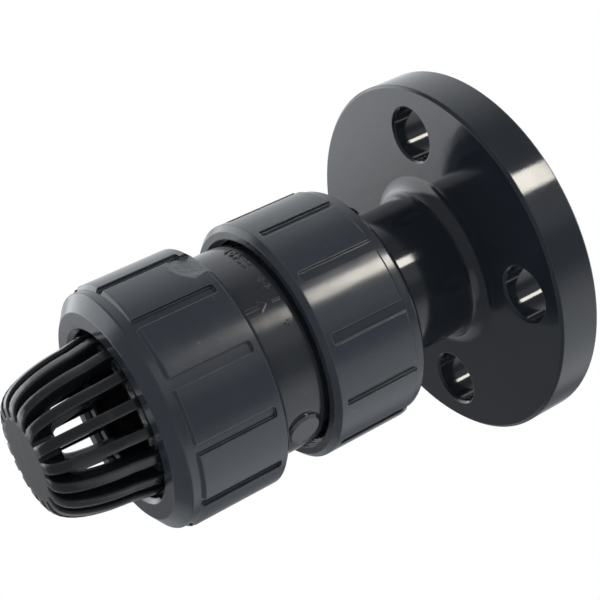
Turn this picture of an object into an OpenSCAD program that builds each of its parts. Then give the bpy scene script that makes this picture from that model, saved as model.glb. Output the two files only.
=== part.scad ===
// Ball foot valve with a flanged outlet, a true-union body and a slotted strainer.
// Z is the flow axis. The origin is the centre of the flange's sealing face, and the valve
// hangs below it: flange, outlet union, body with the check ball, inlet union, strainer.

/* [Flange] */
// Outside diameter of the flange
flange_d = 108; // [100:1:130]
// Thickness of the flange
flange_t = 13.5; // [10:0.5:20]
// Diameter of the bolt circle
bolt_pcd = 79.4; // [76:0.1:84]
// Diameter of each bolt hole
bolt_d = 15.9; // [12:0.1:18]
// Number of bolt holes
bolt_count = 4; // [4, 8]
// Angle of the first bolt hole
bolt_angle = 45; // [0:1:90]
// Depth of the grip grooves in the sealing face
face_groove_depth = 0.5; // [0.2:0.1:1]

/* [Neck] */
// Outside diameter of the neck between flange and outlet nut
neck_d = 43.2; // [40:0.2:46]
// Free length of the neck between flange and outlet nut
neck_len = 28.2; // [24:0.2:40]
// Radius of the fillet between neck and flange
neck_fillet = 5; // [2:0.5:8]
// Diameter of the water way
bore_d = 26; // [24:0.5:28]

/* [Union nuts] */
// Outside diameter over the grip panels
nut_d = 69.8; // [68:0.2:74]
// Diameter of the floor of the grooves between the grip panels
nut_floor_d = 67.7; // [66:0.1:69]
// Length of a nut
nut_len = 32.6; // [31:0.2:36]
// Thickness of the nut's inward shoulder
shoulder_t = 5.5; // [4:0.5:6]
// Diameter of the hole through the shoulder
nut_hole_d = 48.1; // [47:0.1:50]
// Outside diameter of the flat front face
nut_face_d = 59.6; // [56:0.2:62]
// Number of grip panels
panel_count = 12; // [8:1:16]
// Width of a groove between two panels
groove_w = 3.2; // [2:0.1:5]
// Angle of one groove on the outlet nut
outlet_grip_angle = 28; // [0:1:29]
// Angle of one groove on the inlet nut
inlet_grip_angle = 15; // [0:1:29]
// Angle of the notch where the inlet nut's moulding gate was broken off
scar_angle = -125; // [-180:1:180]

/* [Valve body] */
// Diameter of the barrel that shows between the nuts
barrel_d = 59.6; // [58.6:0.2:60.6]
// Length of the body from end face to end face
body_len = 57.6; // [56:0.2:66]
// Diameter of the chamber that the ball moves in
chamber_d = 47.2; // [46:0.2:48]
// Number of guide ribs in the chamber
guide_count = 4; // [3:1:6]
// Thickness of a guide rib
guide_t = 3; // [2:0.5:4]
// Angle of the round gate pad on the barrel
pad_angle = -18; // [-180:1:180]
// Angle of the raised flow arrow on the barrel
arrow_angle = -91; // [-180:1:180]

/* [Ball and seat] */
// Diameter of the check ball
ball_d = 35; // [34:0.1:35.2]
// How far the ball lifts off its seat
ball_lift = 12; // [8:0.5:12]
// Diameter of the circle where the ball meets its seat
seat_contact_d = 31.2; // [30:0.2:31.6]
// Length of the seat carrier
carrier_len = 10; // [9.5:0.5:11]

/* [Strainer] */
// Outside diameter of the basket where its slots begin
basket_d = 46; // [44:0.2:46.4]
// Outside diameter of the basket where it starts to round off
shoulder_d = 43.8; // [42:0.2:44]
// Distance from the inlet nut's face to the strainer's tip
basket_len = 25.6; // [22:0.2:30]
// Diameter of the solid cap at the tip
cap_d = 23.6; // [20:0.2:26]
// Thickness of the solid cap
cap_t = 6.2; // [4:0.2:8]
// Number of ribs, an even number
rib_count = 18; // [14:2:20]
// Thickness of a rib
rib_t = 2.9; // [2:0.1:3.4]
// Depth of a rib, from outside to inside
rib_depth = 4.2; // [3:0.2:4.6]
// Angle of one rib
rib_angle = 5; // [0:1:19]

/* [Threads] */
// Distance between two turns of the union threads
pitch = 4; // [4:0.5:4]
// Gap between the nut's thread and the body's thread
thread_gap = 0.3; // [0.2:0.05:0.4]
// Height of a thread ridge
thread_h = 1.5; // [1:0.1:1.5]
// Turns of thread on each end of the body
body_turns = 4; // [3:0.25:4]
// Turns of thread in each nut
nut_turns = 4.25; // [3:0.25:4.25]

/* [Hidden] */
$fn = 96;

// Colours of the plastics and the rubber.
pvc = [0.16, 0.18, 0.21];
black_pvc = [0.09, 0.10, 0.11];
rubber = [0.03, 0.03, 0.03];
ball_grey = [0.30, 0.32, 0.35];

// Gap between parts that only rest on each other, and an overlap that makes two solids one.
rest_gap = 0.1;
eps = 0.2;
// A height larger than the valve, for cuts right through.
through = 200;

// Heights along the flow axis, from the sealing face down.
collar_t = 5.5;
collar_d = 54.4;
outlet_nut_top = -flange_t - neck_len;
body_top = outlet_nut_top - shoulder_t - rest_gap - collar_t;
body_bottom = body_top - body_len;
body_middle = (body_top + body_bottom) / 2;
inlet_nut_bottom = body_bottom - collar_t - rest_gap - shoulder_t;
strainer_tip = inlet_nut_bottom - basket_len;
nut_mouth = outlet_nut_top - nut_len;

// The barrel's two edges stand just clear of the nuts' mouths.
barrel_half = (nut_mouth - body_middle) - 0.5;

// Radii of the union threads: the body's root and crest, then the nut's crest and root.
body_crest_r = barrel_d / 2;
body_root_r = body_crest_r - thread_h;
nut_crest_r = body_root_r + thread_gap;
nut_root_r = body_crest_r + thread_gap;
// Widths of a thread ridge at its root and its tip.
ridge_root_w = pitch / 2 + 0.2;
ridge_tip_w = ridge_root_w - 1;
segments = 36;
ridge_embed = 0.5;
runout = 5;
// Height of the lowest turn of the body's upper thread.
body_thread_z = body_top - 18.1;
nut_thread_z = body_thread_z + pitch / 2;

// The ball rests a hair above its seat, so that the two solids never overlap.
ball_r = ball_d / 2;
seat_contact_r = seat_contact_d / 2;
contact_drop = sqrt(ball_r * ball_r - seat_contact_r * seat_contact_r);
seat_slope = seat_contact_r / contact_drop;
seat_contact_z = body_bottom + 8.2;
ball_rest_gap = 0.3;
ball_z = seat_contact_z + contact_drop + ball_rest_gap;
ball_top_z = ball_z + ball_lift;
guide_gap = 0.5;

// Seat carrier and its seals.
carrier_r = chamber_d / 2 + 0.7;
carrier_bore_r = 14;
seat_recess_r = 19.9;
seat_h = 4.6;
seat_floor_z = body_bottom + carrier_len - seat_h - 0.2;
cord_r = 1.3;
cord_groove_w = 2 * cord_r + 0.4;
face_ring_r = 19;
face_groove_d = 2.2;

// One turning ridge: a trapezium swept along a right-hand helix, with its two ends run out
// into the wall. The ridge points away from base_r towards tip_r.
function run_in(i, n) = min(1, i / runout, (n - i) / runout);
function ridge_ring(i, n, base_r, tip_r, z0) =
    let(
        a = 360 * i / segments,
        z = z0 + pitch * i / segments,
        out = sign(tip_r - base_r),
        k = run_in(i, n),
        root = base_r - out * ridge_embed,
        tip = base_r - out * 0.1 + (tip_r - base_r + out * 0.1) * k,
        w = ridge_root_w / 2,
        v = ridge_tip_w / 2
    )
    [for (p = [[root, -w - 0.2], [tip, -v], [tip, v], [root, w + 0.2]])
        [p[0] * cos(a), p[0] * sin(a), z + p[1]]];
module ridge(base_r, tip_r, z0, turns) {
    n = round(turns * segments);
    points = [for (i = [0 : n]) each ridge_ring(i, n, base_r, tip_r, z0)];
    outward = tip_r > base_r;
    sides = [for (i = [0 : n - 1]) for (j = [0 : 3])
        let(a = 4 * i + j, b = 4 * i + (j + 1) % 4)
        each [[a, b, b + 4], [a, b + 4, a + 4]]];
    ends = [[3, 2, 1, 0], [4 * n, 4 * n + 1, 4 * n + 2, 4 * n + 3]];
    faces = concat(sides, ends);
    turned = outward ? faces : [for (f = faces) [for (k = [len(f) - 1 : -1 : 0]) f[k]]];
    polyhedron(points = points, faces = turned, convexity = 10);
}

// A tube about the flow axis, between two heights.
module tube(outer_r, inner_r, top, bottom) {
    translate([0, 0, bottom])
        difference() {
            cylinder(r = outer_r, h = top - bottom);
            translate([0, 0, -1]) cylinder(r = inner_r, h = top - bottom + 2);
        }
}

// Everything that is placed upside down at the body's lower end.
module lower_end() {
    translate([0, 0, 2 * body_middle]) rotate([180, 0, 0]) children();
}

module bolt_holes() {
    edge = 0.6;
    for (i = [0 : bolt_count - 1])
        rotate([0, 0, bolt_angle + i * 360 / bolt_count])
            translate([bolt_pcd / 2, 0, 0]) {
                translate([0, 0, -flange_t - 1]) cylinder(d = bolt_d, h = flange_t + 2);
                translate([0, 0, -flange_t - edge])
                    cylinder(d1 = bolt_d + 4 * edge, d2 = bolt_d, h = 2 * edge);
            }
}

// The flange, neck and union collar are one moulding.
module flange_connector() {
    edge = 0.8;
    first_groove_r = 19;
    groove_step = 3;
    color(pvc)
        difference() {
            union() {
                rotate_extrude()
                    polygon([
                        [0, 0], [flange_d / 2 - edge, 0], [flange_d / 2, -edge],
                        [flange_d / 2, edge - flange_t], [flange_d / 2 - edge, -flange_t],
                        [0, -flange_t]
                    ]);
                rotate_extrude()
                    translate([neck_d / 2 - eps, -flange_t - neck_fillet])
                        difference() {
                            square([neck_fillet + eps, neck_fillet + eps]);
                            translate([neck_fillet + eps, 0]) circle(r = neck_fillet);
                        }
                translate([0, 0, body_top]) cylinder(d = neck_d, h = -body_top - 1);
                translate([0, 0, body_top]) cylinder(d = collar_d, h = collar_t);
            }
            translate([0, 0, -through]) cylinder(d = bore_d, h = through + 1);
            bolt_holes();
            rotate_extrude()
                for (i = [0 : 3])
                    translate([first_groove_r + i * groove_step, 0])
                        polygon([[-0.5, 0.1], [0, -face_groove_depth], [0.5, 0.1]]);
        }
}

// The outside of a union nut, from its front face at the top to its open mouth.
module nut_outside() {
    panel_top = outlet_nut_top - 6;
    chamfer_h = 2.8;
    mouth_chamfer = 1.5;
    rotate_extrude()
        polygon([
            [0, outlet_nut_top], [nut_face_d / 2, outlet_nut_top],
            [nut_floor_d / 2 - 0.2, outlet_nut_top - chamfer_h],
            [nut_floor_d / 2, outlet_nut_top - chamfer_h - 0.4],
            [nut_floor_d / 2, panel_top + 0.5], [nut_d / 2 - 0.3, panel_top],
            [nut_d / 2, panel_top - 0.3], [nut_d / 2, nut_mouth + mouth_chamfer],
            [nut_d / 2 - mouth_chamfer, nut_mouth], [0, nut_mouth]
        ]);
}

// The grooves between the grip panels run out at the front and end short of the mouth.
module grip_grooves(angle) {
    blind_end = nut_mouth + 3.2;
    corner = 0.9;
    top = outlet_nut_top - 5;
    difference() {
        for (i = [0 : panel_count - 1])
            rotate([0, 0, angle + i * 360 / panel_count])
                translate([nut_floor_d / 2 - 2, 0, 0]) {
                    translate([0, -groove_w / 2, blind_end + corner])
                        cube([6, groove_w, top - blind_end - corner]);
                    translate([0, -groove_w / 2 + corner, blind_end])
                        cube([6, groove_w - 2 * corner, corner + eps]);
                    for (side = [-1, 1])
                        translate([0, side * (groove_w / 2 - corner), blind_end + corner])
                            rotate([0, 90, 0]) cylinder(r = corner, h = 6);
                }
        translate([0, 0, nut_mouth - 1]) cylinder(d = nut_floor_d, h = nut_len + 2);
    }
}

module union_nut(grip_angle) {
    mouth_depth = 2.8;
    mouth_d = 62.2;
    hole_chamfer = 1.2;
    color(pvc)
        difference() {
            union() {
                difference() {
                    nut_outside();
                    grip_grooves(grip_angle);
                    translate([0, 0, nut_mouth - 1])
                        cylinder(r = nut_root_r, h = nut_len - shoulder_t + 1);
                }
                ridge(nut_root_r, nut_crest_r, nut_thread_z, nut_turns);
            }
            translate([0, 0, nut_mouth - 1]) cylinder(d = nut_hole_d, h = nut_len + 2);
            translate([0, 0, nut_mouth - 1]) cylinder(d = mouth_d, h = mouth_depth + 1);
            translate([0, 0, outlet_nut_top - hole_chamfer])
                cylinder(d1 = nut_hole_d, d2 = nut_hole_d + 4 * hole_chamfer,
                         h = 2 * hole_chamfer);
        }
}

module outlet_nut() {
    union_nut(outlet_grip_angle);
}

// A shallow notch in the inlet nut's rear edge, where its moulding gate was broken off.
module gate_cut() {
    depth = 1.9;
    slope = 12;
    twist = 10;
    width = 11;
    rear_z = 2 * body_middle - nut_mouth;
    rotate([0, 0, scar_angle])
        translate([nut_d / 2 - depth, 0, rear_z])
            rotate([twist, -slope, 0])
                translate([0, -width / 2, -width - 3]) cube([8, width, width + 9]);
}

module inlet_nut() {
    difference() {
        lower_end() union_nut(-inlet_grip_angle);
        color(pvc) gate_cut();
    }
}

// A rubber ring squeezed flush into its groove in an end face. z is the groove's mid height.
module face_ring(z) {
    color(rubber)
        rotate_extrude()
            translate([face_ring_r, z])
                intersection() {
                    circle(r = cord_r);
                    square([2 * cord_r, face_groove_d], center = true);
                }
}

module outlet_o_ring() {
    face_ring(body_top - face_groove_d / 2);
}

module inlet_o_ring() {
    face_ring(body_bottom + face_groove_d / 2);
}

// Outside of the body: two threaded ends and the barrel between them.
module body_outside() {
    edge = 0.8;
    translate([0, 0, body_middle])
        rotate_extrude()
            polygon([
                [0, body_len / 2], [body_root_r - edge, body_len / 2],
                [body_root_r, body_len / 2 - edge], [body_root_r, barrel_half + 0.3],
                [body_crest_r - 0.3, barrel_half], [body_crest_r, barrel_half - 0.3],
                [body_crest_r, -barrel_half + 0.3], [body_crest_r - 0.3, -barrel_half],
                [body_root_r, -barrel_half - 0.3], [body_root_r, -body_len / 2 + edge],
                [body_root_r - edge, -body_len / 2], [0, -body_len / 2]
            ]);
}

// Inside of the body: outlet, cone, chamber and the pocket for the seat carrier.
module body_inside() {
    outlet_len = 4.5;
    cone_h = 8;
    cone_z = body_top - outlet_len - cone_h;
    translate([0, 0, body_top - outlet_len - 1]) cylinder(d = bore_d, h = outlet_len + 2);
    translate([0, 0, cone_z]) cylinder(d1 = chamber_d, d2 = bore_d, h = cone_h);
    translate([0, 0, body_bottom - 1]) cylinder(d = chamber_d, h = cone_z - body_bottom + 1);
    translate([0, 0, body_bottom - 1]) cylinder(r = carrier_r, h = carrier_len + 1);
}

// Ribs that guide the ball, and hooks at their upper ends that stop it.
module guide_ribs() {
    hook_r = 8;
    top = body_top - 6;
    bottom = body_bottom + carrier_len + 0.5;
    difference() {
        intersection() {
            for (i = [0 : guide_count - 1])
                rotate([0, 0, i * 360 / guide_count])
                    translate([0, -guide_t / 2, bottom])
                        cube([chamber_d / 2 + 1, guide_t, top - bottom]);
            rotate_extrude()
                polygon([
                    [hook_r, bottom], [chamber_d / 2 + 1, bottom], [chamber_d / 2 + 1, top - 6.5],
                    [bore_d / 2 + 1.5, top], [hook_r + 4, top], [hook_r, top - 4]
                ]);
        }
        translate([0, 0, bottom - 1])
            cylinder(r = ball_r + guide_gap, h = ball_top_z - bottom + 1);
        translate([0, 0, ball_top_z]) sphere(r = ball_r + guide_gap);
    }
}

// One of four simple raised signs, drawn flat. They spell nothing.
module sign_shape(kind) {
    stroke = 0.6;
    tall = 2.3;
    if (kind == 0) square([stroke, tall], center = true);
    if (kind == 1)
        for (side = [-1, 1])
            translate([0, side * (tall - stroke) / 2]) square([stroke * 2.4, stroke], center = true);
    if (kind == 2) {
        square([stroke * 3, stroke], center = true);
        square([stroke, tall], center = true);
    }
    if (kind == 3)
        difference() {
            circle(d = tall - 0.2);
            circle(d = tall - 0.2 - 2 * stroke);
        }
}

// A row of signs that stand up from the barrel.
module sign_row(first_angle, count, z) {
    step = 4.4;
    for (i = [0 : count - 1])
        rotate([90, 0, 90 + first_angle + i * step])
            linear_extrude(height = body_crest_r + 2)
                translate([0, z]) sign_shape((3 * i + floor(i / 4)) % 4);
}

// A raised arrow that points the way the water flows, and two rows of signs.
module flow_marks() {
    height = 0.4;
    shaft_w = 1;
    head_w = 3.6;
    intersection() {
        union() {
            rotate([90, 0, 90 + arrow_angle])
                linear_extrude(height = body_crest_r + 2)
                    translate([0, body_middle - 3.2])
                        polygon([
                            [-shaft_w / 2, -3], [shaft_w / 2, -3], [shaft_w / 2, 1.6],
                            [head_w / 2, 1.6], [0, 4], [-head_w / 2, 1.6], [-shaft_w / 2, 1.6]
                        ]);
            sign_row(arrow_angle - 44, 14, body_middle + 3.7);
            sign_row(arrow_angle - 41, 4, body_middle);
        }
        tube(body_crest_r + height, body_crest_r - 1, body_middle + 8, body_middle - 8);
    }
}

// The round pad where the body was filled in its mould.
module gate_pad() {
    pad_r = 5.4;
    height = 0.3;
    soft = 0.5;
    rotate([0, 0, pad_angle])
        translate([body_crest_r - 2, 0, body_middle])
            rotate([0, 90, 0]) {
                cylinder(r = pad_r, h = height + 2);
                translate([0, 0, height + 2]) cylinder(r1 = pad_r, r2 = pad_r - 2 * soft, h = soft);
            }
}

module valve_body() {
    color(pvc)
        difference() {
            union() {
                difference() {
                    union() {
                        body_outside();
                        gate_pad();
                        flow_marks();
                    }
                    body_inside();
                }
                guide_ribs();
                ridge(body_root_r, body_crest_r, body_thread_z, body_turns);
                lower_end() ridge(body_root_r, body_crest_r, body_thread_z, body_turns);
            }
            tube(face_ring_r + cord_groove_w / 2, face_ring_r - cord_groove_w / 2,
                 body_top + 1, body_top - face_groove_d);
        }
}

module check_ball() {
    color(ball_grey) translate([0, 0, ball_z]) sphere(r = ball_r);
}

// Rubber seat with a cone that touches the ball along one circle.
module ball_seat() {
    inner_r = 14.4;
    top = seat_floor_z + seat_h;
    outer_r = seat_recess_r - 0.1;
    color(rubber)
        rotate_extrude()
            polygon([
                [inner_r, seat_floor_z], [outer_r, seat_floor_z], [outer_r, top],
                [seat_contact_r + (top - seat_contact_z) / seat_slope, top],
                [inner_r, seat_contact_z + (inner_r - seat_contact_r) * seat_slope]
            ]);
}

// Ring that screws into the body's inlet and holds the seat. Two notches take a spanner.
module seat_carrier() {
    outer_r = carrier_r - rest_gap;
    notch_w = 4;
    notch_depth = 3;
    ring_z = body_bottom + 4.6;
    color(pvc)
        difference() {
            tube(outer_r, carrier_bore_r, body_bottom + carrier_len, body_bottom);
            translate([0, 0, seat_floor_z]) cylinder(r = seat_recess_r, h = seat_h + 1);
            tube(outer_r + 1, carrier_r - 2 * cord_r - 0.15,
                 ring_z + cord_groove_w / 2, ring_z - cord_groove_w / 2);
            tube(face_ring_r + cord_groove_w / 2, face_ring_r - cord_groove_w / 2,
                 body_bottom + face_groove_d, body_bottom - 1);
            translate([-carrier_bore_r - 2.4, -notch_w / 2, body_bottom - 1])
                cube([2 * carrier_bore_r + 4.8, notch_w, notch_depth + 1]);
        }
}

module carrier_o_ring() {
    color(rubber)
        translate([0, 0, body_bottom + 4.6])
            rotate_extrude() translate([carrier_r - cord_r - 0.02, 0]) circle(r = cord_r);
}

// Outline of the basket: a slight taper, then a rounded end. t runs from 0 to 90 degrees.
function round_r(t, side_r, tip_r) = tip_r + (side_r - tip_r) * pow(cos(t), 0.68);
function round_z(t, side_z, tip_z) = side_z + (tip_z - side_z) * pow(sin(t), 1.4);
module basket_outline(mouth_r, side_r, tip_r, mouth_z, side_z, tip_z) {
    steps = 12;
    polygon(concat(
        [[0, mouth_z], [mouth_r, mouth_z]],
        [for (i = [0 : steps])
            let(t = 90 * i / steps)
            [round_r(t, side_r, tip_r), round_z(t, side_z, tip_z)]],
        [[0, tip_z]]
    ));
}

// Strainer: a union collar, a sleeve through the nut and a basket of radial ribs, which
// run up the outside of the sleeve.
module strainer_basket() {
    collar_bottom = body_bottom - collar_t;
    slot_top = inlet_nut_bottom + 0.9;
    side_z = inlet_nut_bottom - 6.8;
    taper_z = inlet_nut_bottom - 0.4;
    cavity_r = basket_d / 2 - rib_depth;
    cavity_end = strainer_tip + cap_t;
    sleeve_r = 21.2;
    sleeve_bore_r = 17.4;
    color(black_pvc) {
        tube(collar_d / 2, sleeve_bore_r, body_bottom, collar_bottom);
        tube(sleeve_r, sleeve_bore_r, collar_bottom + eps, slot_top);
        difference() {
            intersection() {
                union() {
                    translate([0, 0, taper_z - eps])
                        cylinder(d = basket_d, h = collar_bottom - taper_z + 2 * eps);
                    rotate_extrude()
                        basket_outline(basket_d / 2, shoulder_d / 2, cap_d / 2,
                                       taper_z, side_z, strainer_tip);
                }
                union() {
                    for (i = [0 : rib_count / 2 - 1])
                        rotate([0, 0, rib_angle + i * 360 / rib_count])
                            translate([0, 0, strainer_tip + 25])
                                cube([basket_d + 2, rib_t, 60], center = true);
                    translate([0, 0, strainer_tip - 1]) cylinder(d = cap_d, h = cap_t + 1);
                }
            }
            rotate_extrude()
                basket_outline(cavity_r, shoulder_d / 2 - rib_depth, cap_d / 2 - 0.8,
                               collar_bottom + 1, side_z, cavity_end);
        }
    }
}

flange_connector();
outlet_nut();
outlet_o_ring();
valve_body();
check_ball();
ball_seat();
seat_carrier();
carrier_o_ring();
inlet_o_ring();
strainer_basket();
inlet_nut();
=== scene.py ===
"""Foot valve: materials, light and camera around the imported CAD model."""

import math

import bpy
from mathutils import Matrix, Vector


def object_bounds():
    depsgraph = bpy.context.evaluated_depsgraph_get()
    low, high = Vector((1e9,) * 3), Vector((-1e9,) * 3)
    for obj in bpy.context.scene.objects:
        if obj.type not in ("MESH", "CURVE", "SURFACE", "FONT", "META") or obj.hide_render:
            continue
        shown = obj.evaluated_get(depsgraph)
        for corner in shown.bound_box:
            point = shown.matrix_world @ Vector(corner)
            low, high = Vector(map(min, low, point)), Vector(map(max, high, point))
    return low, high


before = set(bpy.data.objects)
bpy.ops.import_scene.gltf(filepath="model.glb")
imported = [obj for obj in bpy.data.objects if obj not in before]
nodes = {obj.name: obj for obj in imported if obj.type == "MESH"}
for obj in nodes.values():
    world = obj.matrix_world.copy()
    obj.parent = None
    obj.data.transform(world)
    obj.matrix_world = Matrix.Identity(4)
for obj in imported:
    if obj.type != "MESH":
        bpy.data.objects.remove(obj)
cad_lo, cad_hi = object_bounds()


# ---------------------------------------------------------------- node helpers


# A Mix node has one set of sockets for each data type. These are the colour ones.
MIX_A, MIX_B, MIX_RESULT = 6, 7, 2


class Graph:
    """Short calls for building one material's node tree."""

    def __init__(self, name):
        self.mat = bpy.data.materials.new(name)
        self.mat.use_nodes = True
        self.tree = self.mat.node_tree
        self.tree.nodes.clear()
        self.out = self.tree.nodes.new("ShaderNodeOutputMaterial")
        self.coord = self.tree.nodes.new("ShaderNodeTexCoord").outputs["Object"]

    def node(self, kind, inputs=None, **settings):
        n = self.tree.nodes.new(kind)
        for key, value in settings.items():
            setattr(n, key, value)
        for key, value in (inputs or {}).items():
            self.feed(n.inputs[key], value)
        return n

    def feed(self, socket, value):
        if isinstance(value, bpy.types.NodeSocket):
            self.tree.links.new(value, socket)
        else:
            socket.default_value = value

    def stretched(self, scale):
        """Object coordinates scaled per axis, so that a noise on them becomes long along one."""
        n = self.node("ShaderNodeMapping", {"Vector": self.coord, "Scale": scale})
        return n.outputs["Vector"]

    def noise(self, scale, detail=3.0, rough=0.55, vector=None, distortion=0.0):
        n = self.node(
            "ShaderNodeTexNoise",
            {
                "Vector": vector or self.coord,
                "Scale": scale,
                "Detail": detail,
                "Roughness": rough,
                "Distortion": distortion,
            },
        )
        return n.outputs["Fac"]

    def span(self, value, lo, hi, to_lo=0.0, to_hi=1.0):
        """Maps lo..hi to to_lo..to_hi, clamped."""
        n = self.node(
            "ShaderNodeMapRange",
            {"Value": value, "From Min": lo, "From Max": hi, "To Min": to_lo, "To Max": to_hi},
        )
        return n.outputs["Result"]

    def math(self, op, a, b=0.0):
        n = self.node("ShaderNodeMath", operation=op)
        self.feed(n.inputs[0], a)
        self.feed(n.inputs[1], b)
        return n.outputs[0]

    def mix(self, fac, a, b):
        n = self.node("ShaderNodeMix", data_type="RGBA")
        self.feed(n.inputs[0], fac)
        self.feed(n.inputs[MIX_A], a)
        self.feed(n.inputs[MIX_B], b)
        return n.outputs[MIX_RESULT]

    def bump(self, height, strength, distance, normal=None):
        inputs = {"Height": height, "Strength": strength, "Distance": distance}
        if normal is not None:
            inputs["Normal"] = normal
        return self.node("ShaderNodeBump", inputs).outputs["Normal"]

    def near(self, centre, outer, inner):
        """1 within inner of a point in object coordinates, 0 beyond outer."""
        n = self.node("ShaderNodeVectorMath", operation="DISTANCE")
        self.feed(n.inputs[0], self.coord)
        self.feed(n.inputs[1], centre)
        return self.span(n.outputs["Value"], outer, inner)

    def edge_mask(self, radius):
        """1 along sharp edges and 0 on flat faces, with the rounded normal itself."""
        bevel = self.node("ShaderNodeBevel", {"Radius": radius}, samples=6).outputs["Normal"]
        flat = self.node("ShaderNodeNewGeometry").outputs["Normal"]
        dot = self.node("ShaderNodeVectorMath", operation="DOT_PRODUCT")
        self.feed(dot.inputs[0], bevel)
        self.feed(dot.inputs[1], flat)
        return self.span(dot.outputs["Value"], 0.99, 0.80), bevel


def rgb(r, g, b):
    return (r, g, b, 1.0)


def tinted(colour, factor):
    """A lighter or darker shade of a colour."""
    return tuple(c * factor for c in colour[:3]) + (1.0,)


# ------------------------------------------------------------------- materials

PLASTIC_IOR = 1.54
RUBBER_IOR = 1.5

# The relief of each kind of unevenness, in metres.
FLOW_RELIEF = 0.0006
GRAIN_RELIEF = 0.0001
SCRATCH_RELIEF = 0.00005
SCAR_RELIEF = 0.0008

# The gate scar is full out to one distance from its centre and gone at the other, in metres.
SCAR_FULL, SCAR_GONE = 0.0030, 0.0066


def moulded_plastic(name, base, wear_and_highlight, roughness, grain=0.12, waves=0.10, edge=0.00045, scar=None):
    """Injection-moulded plastic: mottled gloss, a fine grain, sharp edges lightened as rubbed
    wear and as a painted highlight, and hair scratches.

    The colour after base is that of rubbed edges, scratches and the scar, and it also paints a
    highlight along sharp edges. grain and waves are bump strengths, and edge is the radius in
    metres that sharp edges seem to have. scar is the centre of a rough, paler spot where a
    moulding gate was broken off.
    """
    g = Graph(name)
    cloud = g.noise(55.0, 4.0, 0.6)
    blotch = g.noise(210.0, 3.0, 0.6)
    grain_noise = g.noise(2600.0, 2.0, 0.6)
    flow = g.noise(130.0, 2.0, 0.5, vector=g.stretched((1.0, 1.0, 0.18)), distortion=0.6)
    scratch = g.noise(900.0, 2.0, 0.7, vector=g.stretched((1.0, 0.05, 0.35)))
    scratch = g.span(scratch, 0.68, 0.80)
    edges, soft = g.edge_mask(edge)
    edges = g.math("MULTIPLY", edges, g.span(blotch, 0.30, 0.62, 0.35, 1.0))

    tint = g.mix(g.span(cloud, 0.30, 0.70), base, tinted(base, 1.22))
    # Sharp edges lighten toward the wear colour: partly rubbed wear, partly a painted highlight
    # along the edges.
    colour = g.mix(g.math("MULTIPLY", edges, 0.75), tint, wear_and_highlight)
    colour = g.mix(g.math("MULTIPLY", scratch, 0.18), colour, wear_and_highlight)

    if scar is not None:
        spot = g.near(scar, SCAR_GONE, SCAR_FULL)
        torn = g.math("MULTIPLY", spot, g.span(blotch, 0.32, 0.58))
        torn_tint = g.mix(g.span(blotch, 0.35, 0.65), wear_and_highlight, tinted(wear_and_highlight, 0.5))
        colour = g.mix(g.math("MULTIPLY", torn, 0.7), colour, torn_tint)

    rough = g.span(cloud, 0.25, 0.75, roughness * 0.86, roughness * 1.16)
    rough = g.math("ADD", rough, g.span(blotch, 0.35, 0.75, -0.01, 0.03))
    rough = g.math("ADD", rough, g.math("MULTIPLY", scratch, 0.08))

    normal = g.bump(flow, waves, FLOW_RELIEF, soft)
    normal = g.bump(grain_noise, grain, GRAIN_RELIEF, normal)
    normal = g.bump(scratch, 0.06, SCRATCH_RELIEF, normal)
    if scar is not None:
        rough = g.math("ADD", rough, g.math("MULTIPLY", torn, 0.2))
        normal = g.bump(g.math("MULTIPLY", blotch, torn), 0.5, SCAR_RELIEF, normal)
    shader = g.node(
        "ShaderNodeBsdfPrincipled",
        {
            "Base Color": colour,
            "Roughness": rough,
            "Normal": normal,
            "IOR": PLASTIC_IOR,
        },
    )
    g.feed(g.out.inputs["Surface"], shader.outputs[0])
    return g.mat


def seal_rubber():
    """Matt black rubber with a dusty bloom and a moulded grain."""
    g = Graph("seal_rubber")
    bloom = g.noise(300.0, 4.0, 0.65)
    grain_noise = g.noise(3200.0, 2.0, 0.6)
    colour = g.mix(g.span(bloom, 0.40, 0.75), rgb(0.010, 0.010, 0.011), rgb(0.028, 0.028, 0.030))
    shader = g.node(
        "ShaderNodeBsdfPrincipled",
        {
            "Base Color": colour,
            "Roughness": g.span(bloom, 0.3, 0.7, 0.55, 0.75),
            "Normal": g.bump(grain_noise, 0.2, GRAIN_RELIEF),
            "IOR": RUBBER_IOR,
        },
    )
    g.feed(g.out.inputs["Surface"], shader.outputs[0])
    return g.mat


def plain(name, colour, roughness):
    """A plain stage surface."""
    g = Graph(name)
    shader = g.node(
        "ShaderNodeBsdfPrincipled",
        {
            "Base Color": colour,
            "Roughness": g.span(g.noise(3.0), 0.3, 0.7, roughness, roughness + 0.05),
        },
    )
    g.feed(g.out.inputs["Surface"], shader.outputs[0])
    return g.mat


# Where the CAD's inlet nut has the notch of its moulding gate, in metres.
SCAR_ANGLE = math.radians(-125.0)
SCAR_RADIUS = 0.0335
SCAR_Z = -0.0925
gate_scar = (SCAR_RADIUS * math.cos(SCAR_ANGLE), SCAR_RADIUS * math.sin(SCAR_ANGLE), SCAR_Z)

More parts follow.
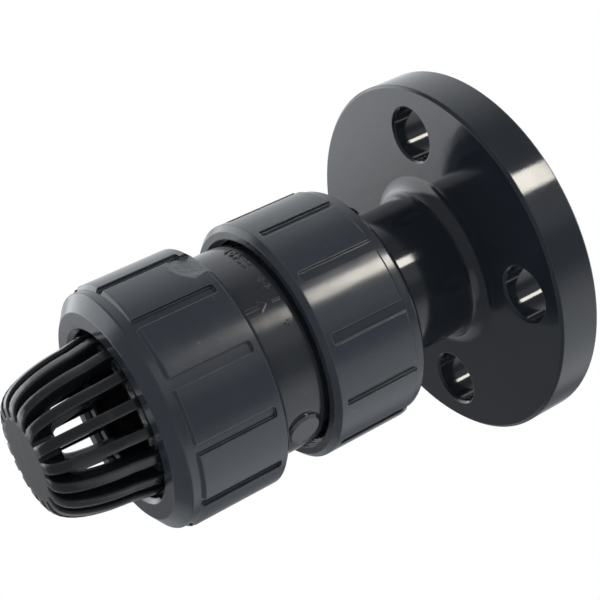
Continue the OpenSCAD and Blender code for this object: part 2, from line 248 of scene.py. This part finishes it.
LOOKS = {
    "flange_connector": moulded_plastic(
        "connector_plastic", rgb(0.013, 0.016, 0.022), rgb(0.10, 0.11, 0.12), 0.085, grain=0.04,
        waves=0.05,
    ),
    "outlet_nut": moulded_plastic(
        "outlet_nut_plastic", rgb(0.027, 0.032, 0.042), rgb(0.15, 0.16, 0.17), 0.16, grain=0.08
    ),
    "inlet_nut": moulded_plastic(
        "inlet_nut_plastic", rgb(0.026, 0.031, 0.041), rgb(0.15, 0.16, 0.17), 0.17, grain=0.08,
        scar=gate_scar,
    ),
    # The body's pale edge colour paints a highlight along the edges of its raised marks, beside
    # real rubbed wear.
    "valve_body": moulded_plastic(
        "body_plastic", rgb(0.020, 0.023, 0.029), rgb(0.30, 0.31, 0.32), 0.14, grain=0.05,
        edge=0.00030,
    ),
    "seat_carrier": moulded_plastic(
        "carrier_plastic", rgb(0.024, 0.028, 0.036), rgb(0.13, 0.14, 0.16), 0.28
    ),
    "strainer_basket": moulded_plastic(
        "basket_plastic", rgb(0.008, 0.009, 0.011), rgb(0.05, 0.052, 0.055), 0.15, grain=0.05,
        edge=0.0014,
    ),
    "check_ball": moulded_plastic(
        "ball_plastic", rgb(0.045, 0.048, 0.055), rgb(0.14, 0.14, 0.15), 0.30, grain=0.06
    ),
}
rubber = seal_rubber()
for name in ("outlet_o_ring", "carrier_o_ring", "inlet_o_ring", "ball_seat"):
    LOOKS[name] = rubber

for name, look in LOOKS.items():
    mesh = nodes[name].data
    mesh.materials.clear()
    mesh.materials.append(look)


# ----------------------------------------------------------------------- stage

FLOOR_SIZE = 60.0
FLOOR_DROP = 0.30
floor_z = cad_lo.z - FLOOR_DROP
bpy.ops.mesh.primitive_plane_add(size=FLOOR_SIZE, location=(0.0, 0.0, floor_z))
floor = bpy.context.object
floor.name = "floor"
floor.data.materials.append(plain("pale_floor", rgb(0.80, 0.80, 0.80), 0.6))
# The gloss of the part mirrors the studio's world, not the floor.
floor.visible_glossy = False

bpy.context.scene.view_settings.view_transform = "Standard"


# ---------------------------------------------------------------------- camera


def camera_axes(azimuth, elevation, roll):
    """Right, up and back directions for a camera that looks at the object from there."""
    a, e, r = (math.radians(v) for v in (azimuth, elevation, roll))
    back = Vector((math.sin(a) * math.cos(e), -math.cos(a) * math.cos(e), math.sin(e)))
    level = Vector((math.cos(a), math.sin(a), 0.0))
    top = back.cross(level)
    right = level * math.cos(r) + top * math.sin(r)
    return right, back.cross(right), back


# Degrees, metres, and millimetres for the lens and the sensor.
VIEW_AZIMUTH, VIEW_ELEVATION, VIEW_ROLL = 17.64, -25.42, 64.5
VIEW_DISTANCE = 0.400
VIEW_TARGET = Vector((-0.0055, -0.0047, -0.0596))
LENS, SENSOR_WIDTH = 86.14, 36.0
right, up, back = camera_axes(VIEW_AZIMUTH, VIEW_ELEVATION, VIEW_ROLL)

cam_data = bpy.data.cameras.new("camera")
cam_data.sensor_width = SENSOR_WIDTH
cam_data.lens = LENS
cam = bpy.data.objects.new("camera", cam_data)
cam_axes = Matrix((right, up, back)).transposed().to_4x4()
cam.matrix_world = Matrix.Translation(VIEW_TARGET + back * VIEW_DISTANCE) @ cam_axes
bpy.context.scene.collection.objects.link(cam)
bpy.context.scene.camera = cam


# ----------------------------------------------------------------------- world


def direction(towards):
    """A direction given in camera axes (right, up, back), in the row frame."""
    return (right * towards[0] + up * towards[1] + back * towards[2]).normalized()


def studio_world(base, glows):
    """White to the eye. What it lights is dim, with a broad glow about each given direction.

    A glow is its direction, the cosines where it starts and where it is full, and its level.
    """
    world = bpy.data.worlds.new("studio")
    bpy.context.scene.world = world
    world.use_nodes = True
    tree = world.node_tree
    tree.nodes.clear()

    def node(kind, **settings):
        n = tree.nodes.new(kind)
        for key, value in settings.items():
            setattr(n, key, value)
        return n

    link = tree.links.new
    ray = node("ShaderNodeTexCoord").outputs["Generated"]
    total = None
    for towards, start, full, level in glows:
        dot = node("ShaderNodeVectorMath", operation="DOT_PRODUCT")
        link(ray, dot.inputs[0])
        dot.inputs[1].default_value = direction(towards)
        ramp = node("ShaderNodeMapRange", interpolation_type="SMOOTHSTEP")
        link(dot.outputs["Value"], ramp.inputs["Value"])
        ramp.inputs["From Min"].default_value = start
        ramp.inputs["From Max"].default_value = full
        ramp.inputs["To Max"].default_value = level
        glow = ramp.outputs["Result"]
        if total is not None:
            add = node("ShaderNodeMath", operation="ADD")
            link(total, add.inputs[0])
            link(glow, add.inputs[1])
            glow = add.outputs[0]
        total = glow
    lift = node("ShaderNodeMath", operation="ADD")
    link(total, lift.inputs[0])
    lift.inputs[1].default_value = base
    lit = node("ShaderNodeBackground")
    link(lift.outputs[0], lit.inputs["Strength"])
    lit.inputs["Color"].default_value = rgb(0.94, 0.97, 1.0)
    seen = node("ShaderNodeBackground")
    seen.inputs["Color"].default_value = rgb(1.0, 1.0, 1.0)
    path = node("ShaderNodeLightPath")
    mix = node("ShaderNodeMixShader")
    link(path.outputs["Is Camera Ray"], mix.inputs[0])
    link(lit.outputs[0], mix.inputs[1])
    link(seen.outputs[0], mix.inputs[2])
    link(mix.outputs[0], node("ShaderNodeOutputWorld").inputs["Surface"])


studio_world(
    0.26,
    [
        # A wide one above and behind the object, and one on its lower right.
        ((-0.12, 0.62, -0.77), 0.40, 0.95, 0.75),
        ((0.80, -0.57, -0.15), 0.72, 0.97, 0.80),
        # The brightest one, on the far left.
        ((-0.88, 0.15, -0.45), 0.82, 0.93, 1.9),
        # A faint one on the camera's upper right.
        ((0.66, 0.46, 0.59), 0.90, 0.99, 0.35),
        # One over the sealing face, which is turned away from the photo's view.
        ((0.815, 0.389, -0.429), 0.70, 0.95, 0.8),
        # Two faint ones below, on the far side and on the camera's side.
        ((-0.257, -0.72, -0.675), 0.90, 0.98, 0.25),
        ((0.41, -0.74, 0.57), 0.88, 0.97, 0.4),
    ],
)


# ---------------------------------------------------------------------- lights


def softbox(name, towards, long_side, distance, size, radiance, tint):
    """A rectangular light. Its direction and its long side are given in camera axes."""
    way = direction(towards)
    across = way.cross(direction(long_side)).normalized()
    along = across.cross(way)
    data = bpy.data.lights.new(name, "AREA")
    data.shape = "RECTANGLE"
    data.size, data.size_y = size
    data.energy = radiance * math.pi * size[0] * size[1]
    data.color = tint[:3]
    lamp = bpy.data.objects.new(name, data)
    axes = Matrix((along, across, way)).transposed().to_4x4()
    lamp.matrix_world = Matrix.Translation(VIEW_TARGET + way * distance) @ axes
    bpy.context.scene.collection.objects.link(lamp)


softbox(
    "key_softbox",
    towards=(0.610, 0.613, 0.502),
    long_side=(0.590, 0.122, -0.798),
    distance=1.43,
    size=(0.33, 0.26),
    radiance=17.5,
    tint=rgb(1.0, 0.95, 0.85),
)
